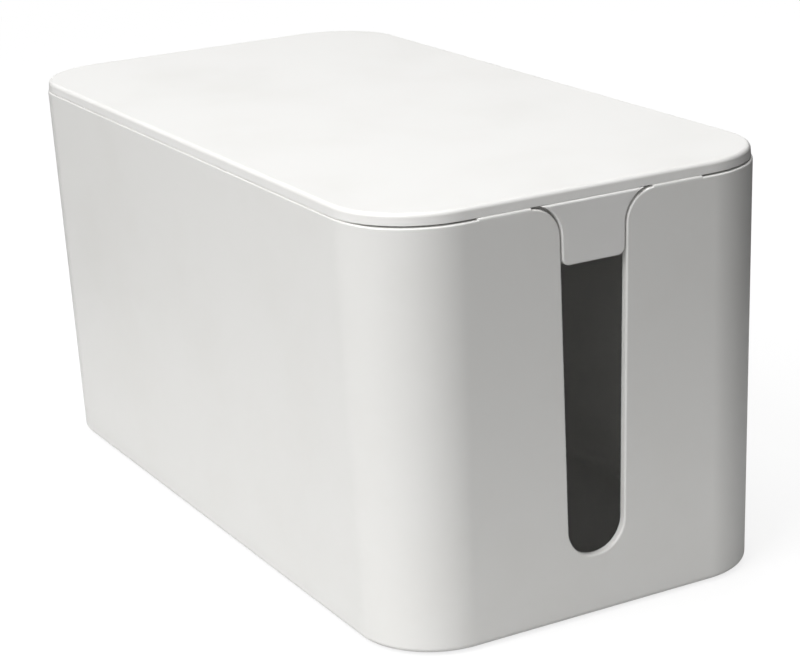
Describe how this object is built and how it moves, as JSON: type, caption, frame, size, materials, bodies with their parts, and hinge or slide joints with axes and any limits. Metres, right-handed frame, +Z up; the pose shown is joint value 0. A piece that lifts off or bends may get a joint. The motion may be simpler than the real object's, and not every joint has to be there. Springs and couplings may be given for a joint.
{
  "type": "cable management box",
  "caption": "Rounded rectangular cable box with a rim slot for leads in each end and a loose lid whose end tongues close the tops of the slots.",
  "frame": {"origin": "on the standing surface under the middle of the box", "axes": "+X along the length, +Y across the width, +Z up"},
  "size_m": [0.235, 0.121, 0.116],
  "materials": {
    "shell": "satin moulded",
    "foot": "matte"
  },
  "bodies": {
    "box": {"box_body": "shell", "foot_front_left": "foot", "foot_front_right": "foot", "foot_rear_left": "foot", "foot_rear_right": "foot"},
    "lid": {"lid": "shell"}
  },
  "joints": [
    {"name": "lid_lift", "type": "slide", "parent": "box", "child": "lid", "axis": [0, 0, 1], "range_m": [0, 0.15]}
  ]
}
